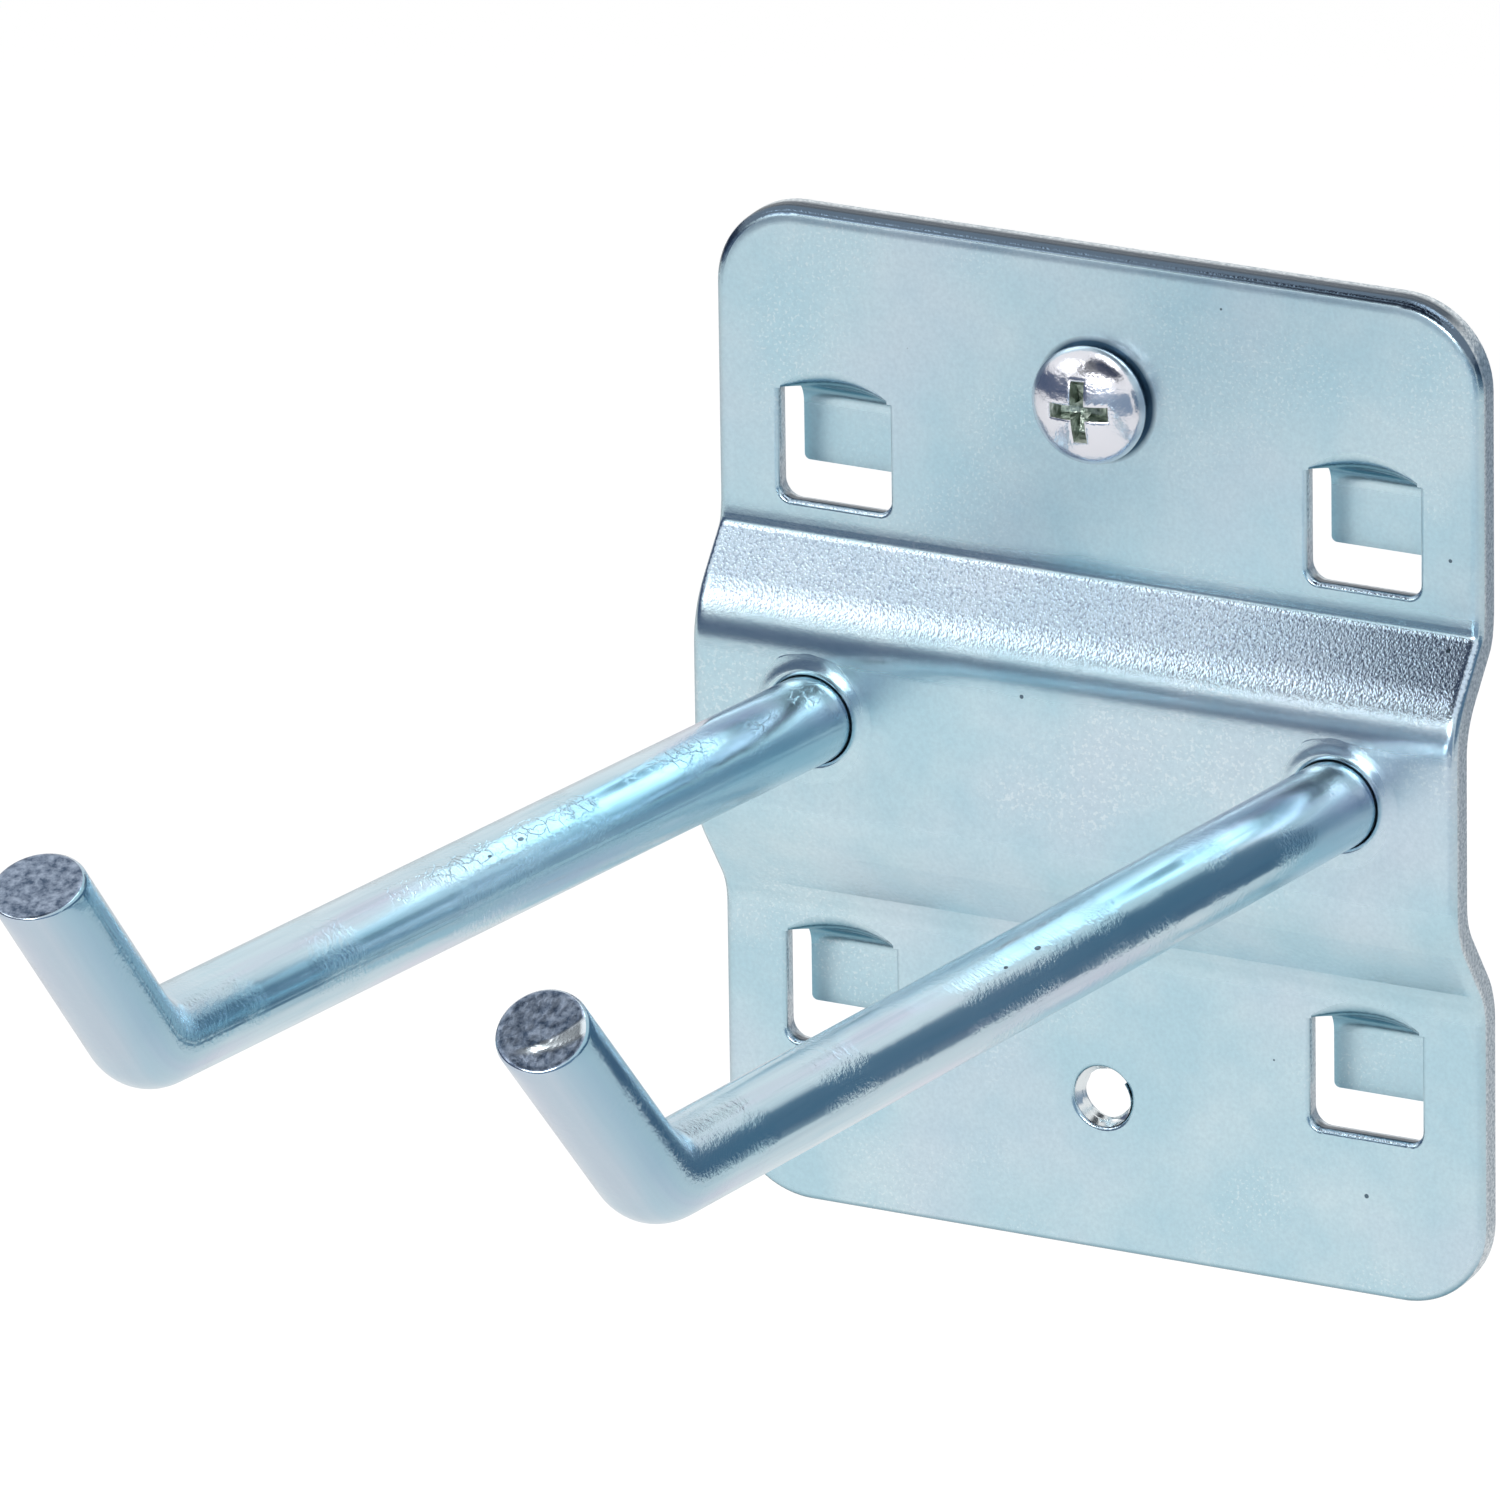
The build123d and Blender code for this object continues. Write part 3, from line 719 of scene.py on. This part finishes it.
shader = add(tree, "BsdfPrincipled", {
    "Base Color": bar_colour.outputs[2], "Metallic": 1.0, "Roughness": bar_rough.outputs[0],
    "Normal": relief.outputs[0],
})
add(tree, "OutputMaterial", {"Surface": shader.outputs[0]})
print("bar finish has", len(tree.nodes), "nodes")

# %% Torn end finish
torn_finish, tree = new_material("zinc on cropped steel")
place = add(tree, "TexCoord").outputs["Object"]
mottle = add(tree, "TexNoise", {"Vector": place, "Scale": per_mm / 0.6, "Detail": 4.0, "Roughness": 0.65})
mottle_share = add(tree, "MapRange", {"Value": mottle.outputs[0], "From Min": 0.36, "From Max": 0.64})
torn_colour = add(
    tree, "Mix", {0: mottle_share.outputs[0], 6: linear("#4A5A70"), 7: linear("#9DABBF")}, data_type="RGBA"
)
# Bright on the slipped step: partly burnish, partly a painted highlight.
burnish_and_highlight = add(tree, "Attribute", attribute_name="burnish_and_highlight").outputs["Fac"]
torn_colour = add(
    tree, "Mix", {0: burnish_and_highlight, 6: torn_colour.outputs[2], 7: linear("#DFE9EF")}, data_type="RGBA"
)
torn_rough = add(tree, "Mix", {0: burnish_and_highlight, 2: 0.34, 3: 0.24})
rugged = add(tree, "Math", {0: 1.0, 1: burnish_and_highlight}, operation="SUBTRACT")
rugged = add(tree, "Math", {0: rugged.outputs[0], 1: mottle.outputs[0]}, operation="MULTIPLY")
relief = add(tree, "Bump", {"Height": rugged.outputs[0], "Distance": 0.06 * mm})
shader = add(tree, "BsdfPrincipled", {
    "Base Color": torn_colour.outputs[2], "Metallic": 1.0, "Roughness": torn_rough.outputs[0],
    "Normal": relief.outputs[0],
})
add(tree, "OutputMaterial", {"Surface": shader.outputs[0]})
print("torn finish has", len(tree.nodes), "nodes")

# %% Make both bars
for name, side, lean, tip_rise, end_cut, step in (
    ("left_hook", -1, 7.0, 49.0, 20.0, 0.0), ("right_hook", 1, 5.2, 47.0, 4.0, 0.3),
):
    bm = bent_bar(side, radians(lean), radians(tip_rise), radians(end_cut), step)
    made = link(name + "_drawn", mesh_from(name + "_drawn", bm))
    made.data.materials.append(bar_finish)
    made.data.materials.append(torn_finish)
    made.data.shade_smooth()
    made.data.set_sharp_from_angle(angle=radians(40))
    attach(made, "root")
    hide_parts(name)
    print(made.name, len(made.data.polygons), "faces, box in mm", [round(v / mm, 2) for v in made.dimensions])

# %% [markdown]
# ## The screw
# The screw is cold-formed from wire: one blow upsets the head into a low dome, a punch sinks the cross recess into it,
# rollers press the thread, and the zinc on it is brighter than on the plate. It is made in the same order here. A
# profile turned once round the axis gives head and shank, planes cut the outline of the cross into the dome, the
# cross is pushed in and narrowed towards its floor, and a ridge that climbs as it turns gives the thread. The screw
# is made upright about its own axis and then laid into the upper hole.

# %% Screw: turned profile and climbing ridge
turn_steps = 72                 # round a turned profile
thread_steps = 32               # round one turn of a thread
crest_half, root_half = 0.07, 0.46      # of the ridge's outline, in pitches


def lathe(bm, profile):
    """Turn a chain of radius and height pairs, in millimetres, once round the Z axis."""
    chain = [bm.verts.new((radius * mm, 0, height * mm)) for radius, height in profile]
    edges = [bm.edges.new(pair) for pair in zip(chain, chain[1:])]
    bmesh.ops.spin(
        bm, geom=chain + edges, cent=(0, 0, 0), axis=(0, 0, 1), angle=2 * pi, steps=turn_steps, use_merge=True
    )
    bmesh.ops.remove_doubles(bm, verts=bm.verts, dist=0.001 * mm)
    bmesh.ops.recalc_face_normals(bm, faces=bm.faces)


def thread(bm, root, crest, pitch, turns, start, ragged):
    """Ridge of a thread that climbs round the Z axis from this height, in millimetres. Its ends run out."""
    before = set(bm.verts)
    outline = [(root, -root_half), (crest, -crest_half), (crest, crest_half), (root, root_half)]
    chain = [bm.verts.new((radius * mm, 0, (start + share * pitch) * mm)) for radius, share in outline]
    edges = [bm.edges.new(pair) for pair in zip(chain, chain[1:])]
    bmesh.ops.spin(
        bm, geom=chain + edges, cent=(0, 0, 0), axis=(0, 0, 1), dvec=(0, 0, pitch * mm / thread_steps),
        angle=2 * pi * turns, steps=int(thread_steps * turns),
    )
    for vert in set(bm.verts) - before:
        reach = vert.co.xy.length
        if abs(reach - crest * mm) < 0.001 * mm:
            done = (vert.co.z / mm - start) / pitch
            fade = max(0.0, min(1.0, 3 * done, 3 * (turns - done)))
            fade -= ragged * (0.5 + 0.5 * noise.noise(vert.co / (0.5 * mm)))
            vert.co.xy *= (root + (crest - root) * max(fade, 0.0)) * mm / reach


# %% Screw: sink the cross into the dome, sizes in millimetres
recess_span = 4.4
recess_wing = 1.2
recess_depth = 1.7              # in the middle
recess_rise = 0.6               # how much of that depth is gone at the ends of the wings
recess_narrowing = 0.78         # the floor's width against the mouth's
recess_turn = radians(3)
recess_lip, recess_lip_drop = 0.1, 0.05
dome_low = 1.5                  # faces above this belong to the dome


def sink_cross(bm):
    """Cut the outline of a cross into the dome and push its faces in. They take the second material."""
    ways = [Vector((cos(recess_turn), sin(recess_turn), 0)), Vector((-sin(recess_turn), cos(recess_turn), 0))]
    for way in ways:
        for place in (-recess_span / 2, -recess_wing / 2, recess_wing / 2, recess_span / 2):
            bmesh.ops.bisect_plane(
                bm, geom=bm.verts[:] + bm.edges[:] + bm.faces[:], plane_co=way * place * mm, plane_no=way
            )
    cross = []
    for face in bm.faces:
        middle = face.calc_center_median()
        apart = sorted(abs(middle.dot(way)) / mm for way in ways)
        if middle.z > dome_low * mm and apart[0] < recess_wing / 2 and apart[1] < recess_span / 2:
            cross.append(face)
    bmesh.ops.inset_region(
        bm, faces=cross, thickness=recess_lip * mm, depth=-recess_lip_drop * mm, use_even_offset=True
    )
    for face in cross:
        face.material_index = 1
    sunk = bmesh.ops.extrude_face_region(bm, geom=cross)["geom"]
    bmesh.ops.delete(bm, geom=cross, context="FACES")
    for vert in [g for g in sunk if isinstance(g, bmesh.types.BMVert)]:
        out = vert.co.xy.length / (recess_span / 2 * mm)
        vert.co.z -= recess_depth * (1 - recess_rise * out) * mm
        vert.co.xy *= recess_narrowing
    for face in {f for g in sunk if isinstance(g, bmesh.types.BMVert) for f in g.link_faces}:
        face.material_index = 1


# %% [markdown]
# Bright zinc without a tint is a cold, nearly perfect mirror, and the small dents that the blow leaves make its
# reflections swim. The punch leaves the recess dull, and the film there is thick enough to look green; deeper in, the
# recess is darkened with painted shade. A cut thread shows clean metal on its torn crests.

# %% Screw finishes
recess_top, recess_low = -4.4 * mm, -3.7 * mm   # painted shade darkens the recess from here to here
screw_finish, tree = new_material("bright zinc on cold-formed steel")
place = add(tree, "TexCoord").outputs["Object"]
dent = add(tree, "TexNoise", {"Vector": place, "Scale": per_mm / 1.5, "Detail": 4.0, "Roughness": 0.6})
relief = add(tree, "Bump", {"Height": dent.outputs[0], "Distance": 0.07 * mm})
shader = add(tree, "BsdfPrincipled", {
    "Base Color": linear("#E2E3EA"), "Metallic": 1.0, "Roughness": 0.19, "Normal": relief.outputs[0],
})
add(tree, "OutputMaterial", {"Surface": shader.outputs[0]})

recess_finish, tree = new_material("dull zinc in the punched recess")
place = add(tree, "TexCoord").outputs["Object"]
scuff = add(tree, "TexNoise", {"Vector": place, "Scale": per_mm / 0.6, "Detail": 3.0, "Roughness": 0.6})
scuff_share = add(tree, "MapRange", {"Value": scuff.outputs[0], "From Min": 0.36, "From Max": 0.64})
lip_tone = add(
    tree, "Mix", {0: scuff_share.outputs[0], 6: linear("#A9B5AA"), 7: linear("#EEF3EE")}, data_type="RGBA"
)
deep_shade_tone = add(
    tree, "Mix", {0: scuff_share.outputs[0], 6: linear("#65736A"), 7: linear("#C0CBC0")}, data_type="RGBA"
)
recess_shade_depth = add(tree, "MapRange", {
    "Value": add(tree, "SeparateXYZ", {0: place}).outputs["Y"], "From Min": recess_top, "From Max": recess_low,
})
tone = add(
    tree, "Mix", {0: recess_shade_depth.outputs[0], 6: lip_tone.outputs[2], 7: deep_shade_tone.outputs[2]}, data_type="RGBA"
)
relief = add(tree, "Bump", {"Height": scuff.outputs[0], "Distance": 0.14 * mm})
shader = add(tree, "BsdfPrincipled", {
    "Base Color": tone.outputs[2], "Metallic": 1.0, "Roughness": 0.3, "Normal": relief.outputs[0],
})
add(tree, "OutputMaterial", {"Surface": shader.outputs[0]})

thread_finish, tree = new_material("clean zinc on a cut thread")
shader = add(tree, "BsdfPrincipled", {"Base Color": linear("#E2E8EA"), "Metallic": 1.0, "Roughness": 0.2})
add(tree, "OutputMaterial", {"Surface": shader.outputs[0]})
print("finishes:", [finish.name for finish in (screw_finish, recess_finish, thread_finish)])

# %% Make the screw
lay_out = Matrix(((1, 0, 0, 0), (0, 0, -1, sheet_front), (0, 1, 0, 0), (0, 0, 0, 1)))   # its axis turns to -Y
screw_profile = [
    (0, -6.0), (1.1, -6.0), (1.62, -5.45), (1.62, 0), (3.4, 0), (3.7, 0.25), (3.92, 0.65), (4.0, 1.05), (3.96, 1.4),
    (3.76, 1.76), (3.45, 2.06), (3.0, 2.32), (2.5, 2.54), (2.0, 2.71), (1.5, 2.84), (1.0, 2.93), (0.5, 2.98), (0, 3.0),
]
bm = bmesh.new()
lathe(bm, screw_profile)
sink_cross(bm)
thread(bm, root=1.6, crest=1.98, pitch=0.7, turns=6.5, start=-5.2, ragged=0.0)
bmesh.ops.recalc_face_normals(bm, faces=bm.faces)
bmesh.ops.transform(bm, matrix=Matrix.Translation((0, 0, upper_hole_z)) @ lay_out, verts=bm.verts)
screw = link("cross_recessed_screw", mesh_from("cross_recessed_screw", bm))
screw.data.materials.append(screw_finish)
screw.data.materials.append(recess_finish)
screw.data.shade_smooth()
screw.data.set_sharp_from_angle(angle=radians(32))
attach(screw, "root")
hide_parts("locking_screw")
print(screw.name, len(screw.data.polygons), "faces, box in mm", [round(v / mm, 2) for v in screw.dimensions])

# %% [markdown]
# ## The thread of the spare hole
# The lower hole is tapped for the same screw and stands open, so its thread shows: two turns of a ridge, torn by the
# tap in such thin sheet. The same climbing ridge is used, this time pointing inwards and with a ragged crest.

# %% Make the spare thread
lower_hole_z = -23.6 * mm
bm = bmesh.new()
thread(bm, root=2.1, crest=1.6, pitch=0.7, turns=2.1, start=-1.62, ragged=0.6)
bmesh.ops.recalc_face_normals(bm, faces=bm.faces)
bmesh.ops.reverse_faces(bm, faces=bm.faces)
bmesh.ops.transform(bm, matrix=Matrix.Translation((0, 0, lower_hole_z)) @ lay_out, verts=bm.verts)
spare = link("spare_hole_thread", mesh_from("spare_hole_thread", bm))
spare.data.materials.append(thread_finish)
spare.data.shade_smooth()
spare.data.set_sharp_from_angle(angle=radians(40))
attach(spare, "root")
print(spare.name, len(spare.data.polygons), "faces, box in mm", [round(v / mm, 2) for v in spare.dimensions])

# %% [markdown]
# ## The lips round the bars
# Pressing the bars into the band pulled the sheet up round each of them into a low lip, which catches a dark line above
# the bar and a bright one beside it. The solid has plain holes there. A bump in the finish could hint at it, but a
# ring that is turned from a low profile gives it true edges. Its skirt runs just under the sheet's face, follows the
# start of the upper bend, and takes the sheet's own finish, so that no seam shows.

# %% Make the lips
bend_start_z = 5.22 * mm
bend_front_radius = 7.0 * mm
lip_profile = [
    (3.08, -0.3), (3.08, 0.0), (3.12, 0.09), (3.22, 0.15), (3.38, 0.17), (3.56, 0.15), (3.76, 0.1), (3.96, 0.05),
    (4.2, 0.015), (4.5, 0.0), (4.8, -0.02), (4.8, -0.3), (3.08, -0.3),
]
for name, side in (("left_bar_lip", -1), ("right_bar_lip", 1)):
    bm = bmesh.new()
    lathe(bm, lip_profile)
    lay_on_band = Matrix(((1, 0, 0, side * bar_spacing / 2), (0, 0, -1, band_front), (0, 1, 0, bar_z), (0, 0, 0, 1)))
    bmesh.ops.transform(bm, matrix=lay_on_band, verts=bm.verts)
    for vert in bm.verts:
        vert.co.y += max(0.0, vert.co.z - bend_start_z) ** 2 / (2 * bend_front_radius)
    lip = link(name, mesh_from(name, bm))
    lip.data.materials.append(sheet_finish)
    lip.data.shade_smooth()
    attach(lip, "root")
    print(name, len(lip.data.polygons), "faces, box in mm", [round(v / mm, 2) for v in lip.dimensions])
